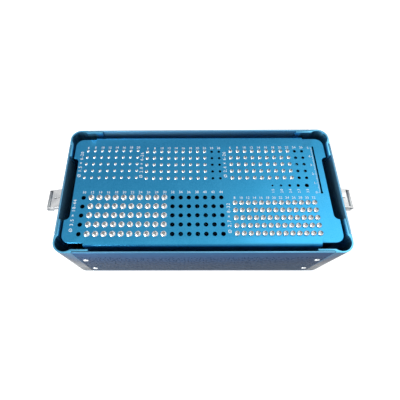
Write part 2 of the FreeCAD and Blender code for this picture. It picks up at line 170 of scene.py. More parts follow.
def finish(name, **constants):
    """A new material, its tree, its shader with these constants, and the place on the object."""
    material = bpy.data.materials.new(name)
    material.use_nodes = True
    tree = material.node_tree
    shader = tree.nodes["Principled BSDF"]
    for socket, value in constants.items():
        shader.inputs[socket.replace("_", " ")].default_value = value
    place = add(tree, "ShaderNodeTexCoord").outputs["Object"]
    return material, tree, shader, place


def dress(tree, shader, colour, height, strength, depth_mm):
    """Gives the shader its colour and its relief."""
    inputs = {"Height": height, "Strength": strength, "Distance": depth_mm * MILLIMETRE}
    bump = add(tree, "ShaderNodeBump", inputs)
    tree.links.new(colour, shader.inputs["Base Color"])
    tree.links.new(bump.outputs[0], shader.inputs["Normal"])


def roughen(tree, shader, pattern, roughness, spread):
    """Lets a pattern vary the roughness by this spread to each side."""
    rough = carried(tree, pattern, 0.3, 0.7, roughness - spread, roughness + spread)
    tree.links.new(rough, shader.inputs["Roughness"])


# %% [markdown]
# ## Anodised aluminium
# Anodising leaves the metal under a thin glassy layer of dyed oxide, so the colour comes back in the
# reflection itself: the shader is metallic, and its base colour is the dye. The sheet is blasted first,
# which gives a satin grain. The real grain is about 0.1 mm across. It is drawn at 0.6 mm here, because
# anything finer than a pixel would be lost. Dye takes a little unevenly, over a few centimetres. The
# walls of the drilled holes get next to no light, so they have painted shade, a dark copy of this finish.

# %% Blasted and anodised sheet
cloud_share = 0.4  # of the fine grain's effect on the dye


def anodised_sheet(name, deep, bright, roughness, grain_mm, cloud_mm):
    """Blasted sheet, dyed between two shades, with a fine grain."""
    material, tree, shader, place = finish(name, Metallic=1.0)
    cloud = noise(tree, place, cloud_mm, 3.0)
    grain = noise(tree, place, grain_mm, 2.0)
    uneven = calculated(tree, "MULTIPLY_ADD", cloud, cloud_share, grain)
    dye = mixed(tree, carried(tree, uneven, 0.45, 0.95), linear(deep), linear(bright))
    dress(tree, shader, dye, grain, 0.15, 0.03)
    roughen(tree, shader, grain, roughness, 0.05)
    return material


rack_blue = anodised_sheet("anodised_aluminium_satin_rack", "2f93c4", "46a9da", 0.36, 0.6, 30.0)
case_blue = anodised_sheet("anodised_aluminium_satin_case", "66a6ca", "7cbada", 0.5, 0.6, 40.0)
# The bores get a dark copy of the sheet finish: painted shade.
bore_painted_shade = anodised_sheet("anodised_aluminium_bore_painted_shade", "0a1622", "10202e", 0.6, 0.6, 10.0)
print("sheet finishes:", rack_blue.name, case_blue.name, bore_painted_shade.name)

# %% [markdown]
# ## The outside of the panels
# The panels have the blue dye of the rack and a harder blast. The photograph shows them almost edge on,
# where glassy oxide throws back a pale reflection with little of the dye in it, so there they look grey.
# Two settings do that: a dark specular tint takes the dye out of the glancing reflection, and a coat
# adds the pale one. Faint dark specks lie in a band across the middle. They are drawn as pits in the
# skin, one in each cell of a Voronoi pattern and about 3.4 mm apart, coarser than the real ones, and
# the coat is missing in them.

# %% Hard blasted panel skin
pit_spacing = 3.4
pit_band = (10.0, 56.0)  # heights between which the pits lie
coat_share = 0.34


def speckled_skin(name, colour, shade, speck, edge, roughness):
    """Blasted skin with a band of small dark pits between two heights."""
    material, tree, shader, place = finish(
        name, Metallic=1.0, Roughness=roughness, Specular_Tint=linear(edge),
        Coat_Roughness=0.35, Coat_IOR=1.6,
    )
    tone = mixed(tree, noise(tree, place, 18.0, 4.0), linear(colour), linear(shade))
    axes = add(tree, "ShaderNodeSeparateXYZ", {"Vector": place}).outputs
    along = calculated(tree, "ADD", axes["X"], axes["Y"])
    flat = add(tree, "ShaderNodeCombineXYZ", {"X": along, "Y": axes["Z"]}).outputs[0]
    layout = {"Vector": flat, "Scale": per_metre(pit_spacing), "Randomness": 0.8}
    cells = add(tree, "ShaderNodeTexVoronoi", layout, voronoi_dimensions="2D").outputs
    spot = carried(tree, cells["Distance"], 0.13, 0.24, 1.0, 0.0)
    above = calculated(tree, "GREATER_THAN", axes["Z"], pit_band[0] * MILLIMETRE)
    below = calculated(tree, "LESS_THAN", axes["Z"], pit_band[1] * MILLIMETRE)
    pits = calculated(tree, "MULTIPLY", calculated(tree, "MULTIPLY", above, below), spot)
    tree.links.new(carried(tree, pits, 0.0, 1.0, coat_share, 0.0), shader.inputs["Coat Weight"])
    sunk = calculated(tree, "SUBTRACT", noise(tree, place, 0.7, 2.0), pits)
    dress(tree, shader, mixed(tree, pits, tone, linear(speck)), sunk, 0.3, 0.06)
    return material


panel_skin = speckled_skin(
    "anodised_aluminium_blasted_panel", "33729c", "2c648c", speck="21506e", edge="202020", roughness=0.38
)
print("panel finish:", panel_skin.name)

# %% [markdown]
# ## Extruded posts
# An extrusion keeps fine lines along the way it left the die, here along Z. Noise on a stretched place
# makes them: squeezed across and long upwards. The lines are about 0.8 mm apart. The outer skin is a
# greyer shade of the panels' dye under a thicker glassy coat, and pales in the same way. The sawn rim
# and the inner faces are a brighter blue.

# %% Extruded and anodised post


def extruded(name, deep, bright, edge, roughness, coat):
    """Anodised extrusion with fine lines along Z."""
    material, tree, shader, place = finish(
        name, Metallic=1.0, Specular_Tint=linear(edge),
        Coat_Weight=coat, Coat_Roughness=0.2, Coat_IOR=1.6,
    )
    lines = noise(tree, stretched(tree, place, (1.0, 1.0, 0.02)), 0.8, 3.0)
    dress(tree, shader, mixed(tree, lines, linear(deep), linear(bright)), lines, 0.2, 0.03)
    roughen(tree, shader, lines, roughness, 0.06)
    return material


post_blue = extruded("anodised_aluminium_extruded_post", "58b2dc", "74c9ee", "a6a6a6", 0.36, 0.1)
post_skin = extruded("anodised_aluminium_extruded_skin", "44708f", "517f9f", "302418", 0.3, 0.72)
print("post finishes:", post_blue.name, post_skin.name)

# %% [markdown]
# ## Steel, rivets, pan and rubber
# The latches are brushed stainless sheet: fine lines along Y. Their hooks are a shade darker. Their
# flanges and pins are darker still with painted shade, and the walls of the slit have a nearly black
# painted shade. The screws are turned and polished, so their tone and roughness change very little.
# Their drives are milled and duller, and darker with painted shade in the recess. Bands along Z stand
# for the turns of their threads, 1 mm apart, with painted shade in the roots. Rivets are soft bright
# aluminium. The pan is anodised black and the feet are moulded rubber.

# %% Brushed, threaded and grained finishes
WAVE_LENGTH = math.tau / 20  # from one band of Blender's wave texture to the next, at scale 1


def brushed(name, colour, shade, roughness, line_mm, squeeze=0.03):
    """Metal with fine lines along Y, the longer the smaller the squeeze."""
    material, tree, shader, place = finish(name, Metallic=1.0)
    lines = noise(tree, stretched(tree, place, (1.0, squeeze, 1.0)), line_mm, 3.0)
    dress(tree, shader, mixed(tree, lines, linear(colour), linear(shade)), lines, 0.2, 0.02)
    roughen(tree, shader, lines, roughness, 0.07)
    return material


def threaded(name, crest, root_painted_shade, roughness, pitch_mm):
    """Turned steel with bands along Z, as far apart as the turns of a thread, with painted shade in the
    roots.
    """
    material, tree, shader, place = finish(name, Metallic=1.0, Roughness=roughness)
    bands = {"Vector": place, "Scale": WAVE_LENGTH * per_metre(pitch_mm)}
    turns = add(tree, "ShaderNodeTexWave", bands, wave_type="BANDS", bands_direction="Z").outputs["Fac"]
    dress(tree, shader, mixed(tree, turns, linear(root_painted_shade), linear(crest)), turns, 0.6, 0.2)
    return material


def grained(name, colour, shade, roughness, metallic, grain_mm, depth_mm):
    """Surface with an even grain, such as moulded rubber, soft rivets or black anodising."""
    material, tree, shader, place = finish(name, Metallic=metallic)
    grain = noise(tree, place, grain_mm, 4.0)
    dress(tree, shader, mixed(tree, grain, linear(colour), linear(shade)), grain, 0.4, depth_mm)
    roughen(tree, shader, grain, roughness, 0.05)
    return material


latch_steel = brushed("stainless_steel_brushed_latch", "eceded", "dadbdd", 0.3, 0.5)
hook_steel = brushed("stainless_steel_brushed_hook", "b6b9bc", "a2a5a8", 0.25, 0.5)
# The flanges are darker than the latch sheet: painted shade.
flange_painted_shade = brushed("stainless_steel_brushed_flange_painted_shade", "9b9ea2", "898c90", 0.35, 0.5)
# The pins are dark: painted shade.
pin_painted_shade = brushed("stainless_steel_turned_pin_painted_shade", "8b8f93", "74787c", 0.3, 0.3, 0.05)
# The walls of the slit are nearly black: painted shade.
slit_painted_shade = grained("stainless_steel_slit_painted_shade", "1e2124", "2a2d30", 0.5, 1.0, 0.4, 0.01)
screw_steel = grained("stainless_steel_polished_screw", "f2f2f2", "e2e3e5", 0.17, 1.0, 1.2, 0.004)
# The dark root colour of the thread bands is painted shade.
thread_bands_painted_shade = threaded("stainless_steel_rolled_thread_painted_shade", "e2e3e5", "74787c", 0.3, 1.0)
# The drive is milled and duller, and its darker colour is painted shade.
drive_milled_with_painted_shade = grained("stainless_steel_milled_socket_painted_shade", "b9bcc0", "a3a7ab", 0.4, 1.0, 0.8, 0.006)
rivet_metal = grained("aluminium_headed_rivet", "eceeef", "d6d9db", 0.3, 1.0, 1.0, 0.01)
pan_black = grained("anodised_aluminium_black_pan", "1a1d21", "24282d", 0.5, 0.9, 0.6, 0.02)
foot_rubber = grained("silicone_rubber_moulded_foot", "17181a", "242628", 0.72, 0.0, 0.5, 0.03)
marking = grained("laser_marked_oxide", "f4f7f9", "e6edf2", 0.6, 0.0, 0.4, 0.005)
print("metal, rubber and marking finishes made")

# %% [markdown]
# ## Helpers for pieces
# Every piece starts as a bmesh. An outline is drawn with straight runs and arcs, each arc a spin of the
# last point, then filled and given its thickness. A turned piece is a spin of half its outline. Edges
# are softened with a small bevel, because no real edge is perfectly sharp and the bevel catches light.

# %% Draw outlines


class Outline:
    """A closed flat outline, drawn point after point."""

    def __init__(self, x, y):
        self.mesh = bmesh.new()
        self.first = self.mesh.verts.new((x, y, 0))
        self.last = self.first

    def to(self, x, y):
        """Straight run to a point."""
        point = self.mesh.verts.new((x, y, 0))
        self.mesh.edges.new((self.last, point))
        self.last = point
        return self

    def arc(self, x, y, degrees, steps):
        """Arc round a centre."""
        turn = math.radians(degrees)
        made = bmesh.ops.spin(
            self.mesh, geom=[self.last], cent=(x, y, 0), axis=(0, 0, 1), angle=turn, steps=steps
        )
        self.last = made["geom_last"][0]
        return self

    def close(self):
        """Joins the last point to the first. Gives the bmesh, with no face yet."""
        if (self.last.co - self.first.co).length < 1e-4:
            bmesh.ops.pointmerge(self.mesh, verts=[self.last, self.first], merge_co=self.first.co)
        else:
            self.mesh.edges.new((self.last, self.first))
        return self.mesh

    def face(self):
        """The same, filled."""
        mesh = self.close()
        bmesh.ops.contextual_create(mesh, geom=mesh.edges[:])
        return mesh


# %% Thicken, soften and spin


def thicken(mesh, low, high):
    """Raises flat faces into a solid between two heights."""
    bmesh.ops.translate(mesh, vec=(0, 0, low), verts=mesh.verts)
    made = bmesh.ops.extrude_face_region(mesh, geom=mesh.faces[:])
    raised = [part for part in made["geom"] if isinstance(part, bmesh.types.BMVert)]
    bmesh.ops.translate(mesh, vec=(0, 0, high - low), verts=raised)
    bmesh.ops.recalc_face_normals(mesh, faces=mesh.faces)
    return mesh


def soften(mesh, width, segments=2, degrees=30):
    """Rounds every edge that turns by more than this."""
    sharp = math.radians(degrees)
    edges = [e for e in mesh.edges if len(e.link_faces) == 2 and e.calc_face_angle() > sharp]
    bmesh.ops.bevel(
        mesh, geom=edges, offset=width, segments=segments, profile=0.5, affect="EDGES", material=-1,
        clamp_overlap=True,
    )
    return mesh


def turned(points, steps):
    """A piece of revolution about Z, from points of radius and height."""
    mesh = bmesh.new()
    verts = [mesh.verts.new((radius, 0, height)) for radius, height in points]
    edges = [mesh.edges.new(pair) for pair in zip(verts, verts[1:])]
    bmesh.ops.spin(
        mesh, geom=verts + edges, cent=(0, 0, 0), axis=(0, 0, 1), angle=math.tau, steps=steps,
        use_merge=True,
    )
    bmesh.ops.remove_doubles(mesh, verts=mesh.verts, dist=1e-4)
    bmesh.ops.recalc_face_normals(mesh, faces=mesh.faces)
    return mesh


def copies(mesh, matrices):
    """A bmesh with a copy of this one under each matrix. The first bmesh is freed."""
    pattern = bpy.data.meshes.new("pattern")
    mesh.to_mesh(pattern)
    mesh.free()
    result = bmesh.new()
    for matrix in matrices:
        start = len(result.verts)
        result.from_mesh(pattern)
        result.verts.ensure_lookup_table()
        bmesh.ops.transform(result, matrix=matrix, verts=result.verts[start:])
    bpy.data.meshes.remove(pattern)
    return result


# %% [markdown]
# ## From bmesh to piece
# One function finishes every piece: it makes the mesh small enough for metres, shades it smooth up to
# its real edges, gives it its finishes, sets it on its body and hides the nodes it stands for.

# %% Finish a piece

SMOOTH_UP_TO = math.radians(35)


def keep(name, mesh, finishes, body, slot, *nodes):
    """Makes a piece of a bmesh in millimetres, riding on a body in place of these nodes."""
    bmesh.ops.scale(mesh, vec=Vector((1, 1, 1)) * MILLIMETRE, verts=mesh.verts)
    data = bpy.data.meshes.new(name)
    mesh.to_mesh(data)
    mesh.free()
    for material in finishes:
        data.materials.append(material)
    data.shade_smooth()
    data.set_sharp_from_angle(angle=SMOOTH_UP_TO)
    piece = bpy.data.objects.new(name, data)
    bpy.context.scene.collection.objects.link(piece)
    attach(piece, body)
    if nodes:
        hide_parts(*nodes)
    print(name, "faces", len(data.polygons))
    return piece


def softened_copy(node, width, segments=2):
    """A copy of a node of the frame in millimetres, its triangles merged and its edges softened."""
    mesh = bmesh.new()
    mesh.from_mesh(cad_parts[node].data)
    bmesh.ops.scale(mesh, vec=Vector((1, 1, 1)) / MILLIMETRE, verts=mesh.verts)
    bmesh.ops.remove_doubles(mesh, verts=mesh.verts, dist=1e-3)
    bmesh.ops.dissolve_limit(
        mesh, angle_limit=math.radians(1), use_dissolve_boundaries=False,
        verts=mesh.verts, edges=mesh.edges,
    )
    return soften(mesh, width, segments)


# %% [markdown]
# ## Corner posts
# Each post is one extrusion with a round skin, a round pocket behind it, and two arms that the sheet
# panels lie on. It could be copied from the frame, but there the arcs are coarse, and the rim of the
# pocket is the first thing the eye meets at each corner. So its outline is drawn again with fine arcs,
# for the front left corner, and mirrored for the others. Its outer faces get the finish of the skin.

# %% Corner posts
post_radius = 10.5
pocket_radius = 8.9
post_land = 17.3
arm_reach = 31.5
arm_face = 1.8
arm_back = 3.6
seam_chamfer = 0.4
rim_round = 0.3
skin_steps = 14
pocket_steps = 32


def post():
    """Post for the front left corner, with the sharp corner of the case at the origin."""
    lift = post_radius - arm_back
    pocket_x = post_radius + math.sqrt(pocket_radius ** 2 - lift ** 2)
    opening = math.degrees(math.atan2(lift, pocket_x - post_radius))
    outline = Outline(0, post_radius)
    outline.arc(post_radius, post_radius, 90, skin_steps)
    outline.to(post_land - seam_chamfer, 0).to(post_land, seam_chamfer).to(post_land, arm_face)
    outline.to(arm_reach, arm_face).to(arm_reach, arm_back).to(pocket_x, arm_back)
    outline.arc(post_radius, post_radius, -(270 - 2 * opening), pocket_steps)
    outline.to(arm_back, arm_reach).to(arm_face, arm_reach).to(arm_face, post_land)
    outline.to(seam_chamfer, post_land).to(0, post_land - seam_chamfer)
    mesh = soften(thicken(outline.face(), shell_bottom, case_height), rim_round)
    for face in mesh.faces:
        middle = face.calc_center_median()
        outside = min(middle.x, middle.y) < 1.5 * seam_chamfer or face.normal.x + face.normal.y < -0.5
        face.material_index = int(outside and abs(face.normal.z) < 0.5)
    return mesh


for end, end_name in ((-1, "left"), (1, "right")):
    for side, side_name in ((-1, "front"), (1, "back")):
        mesh = post()
        bmesh.ops.translate(mesh, vec=(-half_length, -half_depth, 0), verts=mesh.verts)
        bmesh.ops.scale(mesh, vec=(-end, -side, 1), verts=mesh.verts)
        bmesh.ops.recalc_face_normals(mesh, faces=mesh.faces)
        corner = f"{side_name}_{end_name}"
        finishes = [post_blue, post_skin]
        keep(f"corner_post_{corner}", mesh, finishes, "case", "post_aluminium", f"post_{corner}")

# %% [markdown]
# ## Panels
# The panels are plain sheet, seated on the posts' arms. Only the outer face has the hard blasted skin.
# The cut edges and the inside have a paler satin blue. A copy of each node with soft edges is enough,
# and its outer face gets the second finish.

# %% Sheet panels
panel_soft = 0.25
outward = {"front": (0, -1, 0), "back": (0, 1, 0), "left": (-1, 0, 0), "right": (1, 0, 0)}

for name, direction in outward.items():
    mesh = softened_copy(f"panel_{name}", panel_soft)
    for face in mesh.faces:
        face.material_index = int(face.normal.dot(Vector(direction)) > 0.3)
    keep(f"sheet_panel_{name}", mesh, [case_blue, panel_skin], "case", "panel_aluminium", f"panel_{name}")

# %% [markdown]
# ## Blind rivets
# The panels are held by blind rivets: a domed flange with a small hole where the pulled stem broke off.
# Half the outline is spun about its axis, and the copies stand on the panels where the frame has its
# plainer heads.

# %% Rivets
rivet_steps = 20


def rivet(radius, height, stem_radius):
    """Head of a blind rivet, standing on Z = 0. Its dome falls to about a third of its height."""
    well = 0.45 * height
    points = [
        (0, well), (0.8 * stem_radius, well), (stem_radius, 0.55 * height),
        (1.05 * stem_radius, height), (0.5 * radius, 0.97 * height), (0.72 * radius, 0.84 * height),
        (0.88 * radius, 0.62 * height), (0.97 * radius, 0.35 * height), (radius, 0.175 * height),
        (radius, 0),
    ]
    return turned(points, rivet_steps)


def facing(direction, place):
    """Matrix that stands a piece on a surface that faces this way."""
    turn = Vector((0, 0, 1)).rotation_difference(Vector(direction)).to_matrix().to_4x4()
    return Matrix.Translation(place) @ turn


rivet_radius = 2.4
rivet_height = 1.0
rivet_stem = 0.7
rivet_from_corner = 23.3
rivet_heights = (15.0, 47.0)
along_x = half_length - rivet_from_corner
along_y = half_depth - rivet_from_corner
matrices = []
for sign in (-1, 1):
    for across in (-1, 1):
        for height in rivet_heights:
            matrices.append(facing((0, sign, 0), (across * along_x, sign * half_depth, height)))
            matrices.append(facing((sign, 0, 0), (sign * half_length, across * along_y, height)))
mesh = copies(rivet(rivet_radius, rivet_height, rivet_stem), matrices)
keep("blind_rivets", mesh, [rivet_metal], "case", "rivet_aluminium", "panel_rivets")

# %% [markdown]
# ## Floor pan and feet
# The pan is hidden in the photograph, so it stays the plain pressed sheet of the frame with softer
# edges. The feet are moulded buttons with a round edge and a dimple for their fixing.

# %% Pan and feet
floor_soft = 0.2
keep("floor_pan", softened_copy("base_pan", floor_soft), [pan_black], "case", "pan_aluminium", "base_pan")

foot_radius = 6.0
foot_steps = 28
foot_inset_x = 18.0
foot_inset_y = 20.0
dimple_depth = 0.9
foot = turned([
    (0, dimple_depth), (2.0, dimple_depth), (2.3, 0.2), (2.7, 0.0), (foot_radius - 0.8, 0.0),
    (foot_radius - 0.3, 0.2), (foot_radius, 0.7), (foot_radius, shell_bottom), (0, shell_bottom),
], foot_steps)
matrices = []
for x in (foot_inset_x - half_length, half_length - foot_inset_x):
    for y in (foot_inset_y - half_depth, half_depth - foot_inset_y):
        matrices.append(Matrix.Translation((x, y, 0)))
keep("rubber_feet", copies(foot, matrices), [foot_rubber], "case", "foot_rubber", "feet")

# %% [markdown]
# ## Blocks of sockets
# Five blocks of sockets cover the plate, one for each thread size. Each is a grid, and the frame shows
# where its screws stand, so the pitch is worked out from the frame. Some columns at the right, and one
# at the left of the largest block, hold no screws.

# %% Blocks of sockets
rows = 5
plate_low, plate_high = span("rack_plate")
plate_top = plate_high.z
socket_clearance = 0.4


class Block:
    """One grid of sockets: thread size, head, filled columns, empty columns and first screw length."""

    def __init__(self, size, head, filled, left_empty, right_empty, first_length):
        self.node = "screws_" + str(size).replace(".", "_")
        self.size = size
        self.head_radius = head / 2
        low, high = span(self.node)
        self.head_height = high.z - low.z
        reach_y = self.head_radius * math.sin(math.pi / 3)  # the frame's heads have six sides
        self.pitch_x = (high.x - low.x - head) / (filled - 1)
        self.pitch_y = (high.y - low.y - 2 * reach_y) / (rows - 1)
        self.left_x = low.x + self.head_radius - left_empty * self.pitch_x
        self.back_y = high.y - reach_y
        self.columns = left_empty + filled + right_empty
        self.filled = range(left_empty, left_empty + filled)
        self.first_length = first_length

    def places(self, columns):
        """Middles of the sockets in these columns."""
        found = []
        for column in columns:
            x = self.left_x + column * self.pitch_x
            for row in range(rows):
                found.append(Vector((x, self.back_y - row * self.pitch_y, 0)))
        return found


blocks = [
    Block(1.5, 3.0, 8, 0, 0, 6),
    Block(2.0, 3.5, 9, 0, 2, 6),
    Block(2.4, 4.0, 9, 0, 2, 6),
    Block(2.7, 5.0, 13, 0, 0, 8),
    Block(3.5, 6.0, 10, 1, 7, 10),
]
for block in blocks:
    print(block.node, "pitch", round(block.pitch_x, 2), "by", round(block.pitch_y, 2))

# %% [markdown]
# ## The rack
# The plate and its two walls are one folded sheet. The plate is an outline with over three hundred
# holes, which a Boolean would take long over. It is quicker to set the lining of every hole in place
# first and then fill the flat space between them and the outline, which triangle_fill does. The fold is
# a spin of the plate's own side face, and the wall below it is an extrusion.

# %% Rack outline
grip_depth = 4.7
grip_half = 33.0
grip_round = 4.5
plate_round = 8.0
corner_steps = 8
end_x = plate_high.x
fold_y = plate_high.y
wall_end = span("rack_wall_back")[1].x
relief = 0.6  # beside the fold, where the edge starts to be rounded


def rack_outline():
    """Outline of the plate, with round corners and a finger cut-out in each end."""
    inner = end_x - grip_depth
    outline = Outline(-wall_end, -fold_y)
    outline.to(wall_end, -fold_y).to(wall_end + relief, -fold_y).to(end_x - plate_round, -fold_y)
    outline.arc(end_x - plate_round, plate_round - fold_y, 90, corner_steps)
    outline.to(end_x, -grip_half).to(inner + grip_round, -grip_half)
    outline.arc(inner + grip_round, grip_round - grip_half, -90, corner_steps)
    outline.to(inner, grip_half - grip_round)
    outline.arc(inner + grip_round, grip_half - grip_round, -90, corner_steps)
    outline.to(end_x, grip_half).to(end_x, fold_y - plate_round)
    outline.arc(end_x - plate_round, fold_y - plate_round, 90, corner_steps)
    outline.to(wall_end + relief, fold_y).to(wall_end, fold_y).to(-wall_end, fold_y)
    outline.to(-wall_end - relief, fold_y).to(plate_round - end_x, fold_y)
    outline.arc(plate_round - end_x, fold_y - plate_round, 90, corner_steps)
    outline.to(-end_x, grip_half).to(-inner - grip_round, grip_half)
    outline.arc(-inner - grip_round, grip_half - grip_round, -90, corner_steps)
    outline.to(-inner, grip_round - grip_half)
    outline.arc(-inner - grip_round, grip_round - grip_half, -90, corner_steps)
    outline.to(-end_x, -grip_half).to(-end_x, plate_round - fold_y)
    outline.arc(plate_round - end_x, plate_round - fold_y, 90, corner_steps)
    outline.to(-wall_end - relief, -fold_y)
    return outline


print("plate, in millimetres:", round(2 * end_x, 1), "by", round(2 * fold_y, 1))

# %% [markdown]
# A hole is a turned lining: a small countersink and then the wall. One lining for each drill size is
# copied to its places. What is left is to close the plate between them, above and below.

# %% Places of the holes
gauge_left = 68.0
gauge_y = 1.5
gauge_pitch = 8.1
gauge_clearance = 0.1
countersink = 0.15
hole_steps = 20
plate_bottom = plate_low.z


def lining(radius):
    """Countersink and wall of one hole through the plate."""
    rim = (radius + countersink, plate_top)
    mesh = turned([rim, (radius, plate_top - countersink), (radius, plate_bottom)], hole_steps)
    # Every face of the lining gets the second finish: painted shade for the bore.
    for face in mesh.faces:
        face.material_index = 1
    return mesh


def linings():
    """Linings of every socket and of the five test holes of the screw gauge, as meshes."""
    made = []
    for index, block in enumerate(blocks):
        places = block.places(range(block.columns))
        made.append(copies(lining((block.size + socket_clearance) / 2), map(Matrix.Translation, places)))
        test = Vector((gauge_left + index * gauge_pitch, gauge_y, 0))
        made.append(copies(lining((block.size + gauge_clearance) / 2), [Matrix.Translation(test)]))
    return made


# %% Length gauge slot
ruler_x = 113.2
ruler_zero_y = -6.0
ruler_length = 52.0
slot_half = 0.8
stop_radius = 1.2
slot_end_steps = 8
stop_steps = 14


def slot_outline():
    """Slot with a round back end and a round stop hole at its front."""
    neck = math.sqrt(stop_radius ** 2 - slot_half ** 2)
    opening = math.degrees(math.atan2(slot_half, neck))
    back = ruler_zero_y + ruler_length - slot_half
    outline = Outline(ruler_x + slot_half, ruler_zero_y + neck)
    outline.to(ruler_x + slot_half, back)
    outline.arc(ruler_x, back, 180, slot_end_steps)
    outline.to(ruler_x - slot_half, ruler_zero_y + neck)
    outline.arc(ruler_x, ruler_zero_y, 360 - 2 * opening, stop_steps)
    return outline.close()


# %% Drilled plate
edge_round = 0.3


def pour(mesh, other):
    """Adds another bmesh to this one and frees it."""
    data = bpy.data.meshes.new("poured")
    other.to_mesh(data)
    other.free()
    mesh.from_mesh(data)
    bpy.data.meshes.remove(data)


def open_edges(mesh, height):
    """Edges at this height that still lack a face."""
    lacking = [e for e in mesh.edges if len(e.link_faces) < 2]
    return [e for e in lacking if all(abs(v.co.z - height) < 1e-3 for v in e.verts)]


def new_verts(made):
    """The vertices among what an operator made."""
    return [part for part in made["geom"] if isinstance(part, bmesh.types.BMVert)]


def drilled_plate():
    """Plate with its holes and a soft upper edge, still open above and below."""
    mesh = rack_outline().face()
    bmesh.ops.translate(mesh, vec=(0, 0, plate_top), verts=mesh.verts)
    bmesh.ops.inset_region(
        mesh, faces=mesh.faces[:], thickness=edge_round, use_even_offset=True, use_boundary=True
    )
    middle = max(mesh.faces, key=lambda face: len(face.verts))
    inner = set(middle.edges)
    bmesh.ops.delete(mesh, geom=[middle], context="FACES_ONLY")
    outer = [e for e in mesh.edges if len(e.link_faces) == 1 and e not in inner]
    rim = {v for e in outer for v in e.verts}
    beside_fold = {v for v in rim if abs(v.co.x) < wall_end + 1e-3 and abs(abs(v.co.y) - fold_y) < 1e-3}
    bmesh.ops.translate(mesh, vec=(0, 0, -edge_round), verts=list(rim - beside_fold))
    made = bmesh.ops.extrude_edge_only(mesh, edges=outer)
    for vert in new_verts(made):
        vert.co.z = plate_bottom
    slot = slot_outline()
    bmesh.ops.translate(slot, vec=(0, 0, plate_top), verts=slot.verts)
    made = bmesh.ops.extrude_edge_only(slot, edges=slot.edges[:])
    bmesh.ops.translate(slot, vec=(0, 0, plate_bottom - plate_top), verts=new_verts(made))
    for other in [slot, *linings()]:
        pour(mesh, other)
    return mesh


# %% Close the plate and fold the walls
fold_steps = 8
wall_low = span("rack_wall_back")[0].z
fold_radius = span("rack_wall_back")[1].y - fold_y


def fold_wall(mesh, side):
    """Folds a wall down from the plate's front (-1) or back (1) edge."""
    starts = []
    for face in mesh.faces:
        at_edge = all(v.co.y * side > fold_y - 1e-3 for v in face.verts)
        over_wall = all(abs(v.co.x) < wall_end + 1e-3 for v in face.verts)
        if len(face.verts) == 4 and at_edge and over_wall:
            starts.append(face)
    centre = (0, side * fold_y, plate_top - fold_radius)
    made = bmesh.ops.spin(
        mesh, geom=starts, cent=centre, axis=(1, 0, 0), angle=-side * math.pi / 2, steps=fold_steps
    )
    end = [part for part in made["geom_last"] if isinstance(part, bmesh.types.BMFace)]
    made = bmesh.ops.extrude_face_region(mesh, geom=end)
    for vert in new_verts(made):
        vert.co.z = wall_low
    bmesh.ops.delete(mesh, geom=starts + end, context="FACES_ONLY")


def folded_rack():
    """Plate, folds and walls as one closed sheet."""
    mesh = drilled_plate()
    for height in (plate_top, plate_bottom):
        edges = open_edges(mesh, height)
        bmesh.ops.triangle_fill(mesh, use_beauty=True, edges=edges, normal=(0, 0, 1))
    for side in (-1, 1):
        fold_wall(mesh, side)
    bmesh.ops.recalc_face_normals(mesh, faces=mesh.faces)
    print("edges of the rack sheet that lack a face:", sum(len(e.link_faces) != 2 for e in mesh.edges))
    return mesh


keep(
    "folded_rack", folded_rack(), [rack_blue, bore_painted_shade], "rack", "rack_aluminium",
    "rack_plate", "rack_wall_front", "rack_wall_back",
)

# %% [markdown]
# The floor of the rack and the heads of its rivets need little: soft edges and round heads.

# %% Rack floor and rivets
mesh = softened_copy("rack_base", floor_soft)
keep("rack_floor", mesh, [rack_blue], "rack", "rack_aluminium", "rack_base")

rack_rivet_height = 9.0
rack_rivet_pitch = 80.0
head = rivet(radius=2.0, height=0.8, stem_radius=0.6)
matrices = []
for side in (-1, 1):
    wall_y = side * (fold_y + fold_radius)
    for step in (-1, 0, 1):
        matrices.append(facing((0, side, 0), (step * rack_rivet_pitch, wall_y, rack_rivet_height)))
keep("rack_rivet_heads", copies(head, matrices), [rivet_metal], "rack", "rivet_aluminium", "rack_rivets")

# %% [markdown]
# ## The screws
# There are 245 screws, so each has fewer than a hundred faces: a domed head with a round drive in it
# and a shank with a point. The drive is darker with painted shade. A thread would take hundreds of
# faces, so the banded finish of the shank, with painted shade in its roots, stands for it. Each column
# holds one length, 2 mm longer than the one before. A head lies on the plate, and its shank hangs
# through the socket into the rack.

# %% Screws
head_steps = 12
shank_steps = 6
length_step = 2.0
drive_share = 0.5  # of the head's radius
drive_depth = 0.45  # of the head's height


def screw(radius, height, shank_radius, length):
    """Screw whose head stands on Z = 0."""
    drive = drive_share * radius
    floor = height * (1 - drive_depth)
    points = [
        (0, floor), (drive, floor), (1.05 * drive, height), (0.8 * radius, 0.8 * height),
        (radius, 0.4 * height), (0.94 * radius, 0), (0, 0),
    ]
    mesh = turned(points, head_steps)
    # The faces of the drive get the second finish, darker with painted shade.
    for face in mesh.faces:
        middle = face.calc_center_median()
        face.material_index = int(middle.xy.length < 1.03 * drive and middle.z > 0.1 * height)
    tip = 1.5 * shank_radius
    shank = turned([(0, 0), (shank_radius, 0), (shank_radius, tip - length), (0, -length)], shank_steps)
    # The shank gets the banded finish, with painted shade in its roots.
    for face in shank.faces:
        face.material_index = 2
    pour(mesh, shank)
    axis = [v for v in mesh.verts if v.co.xy.length < 1e-3 and v.co.z > -1e-3]
    bmesh.ops.dissolve_verts(mesh, verts=axis)
    return mesh


def screws(block):
    """Every screw of a block."""
    filled = bmesh.new()
    for column in block.filled:
        length = block.first_length + length_step * column
        one = screw(block.head_radius, block.head_height, block.size / 2, length)
        places = [place + Vector((0, 0, plate_top)) for place in block.places([column])]
        pour(filled, copies(one, map(Matrix.Translation, places)))
    return filled


for block in blocks:
    finishes = [screw_steel, drive_milled_with_painted_shade, thread_bands_painted_shade]
    keep(f"bone_{block.node}", screws(block), finishes, "rack", "screw_steel", block.node)

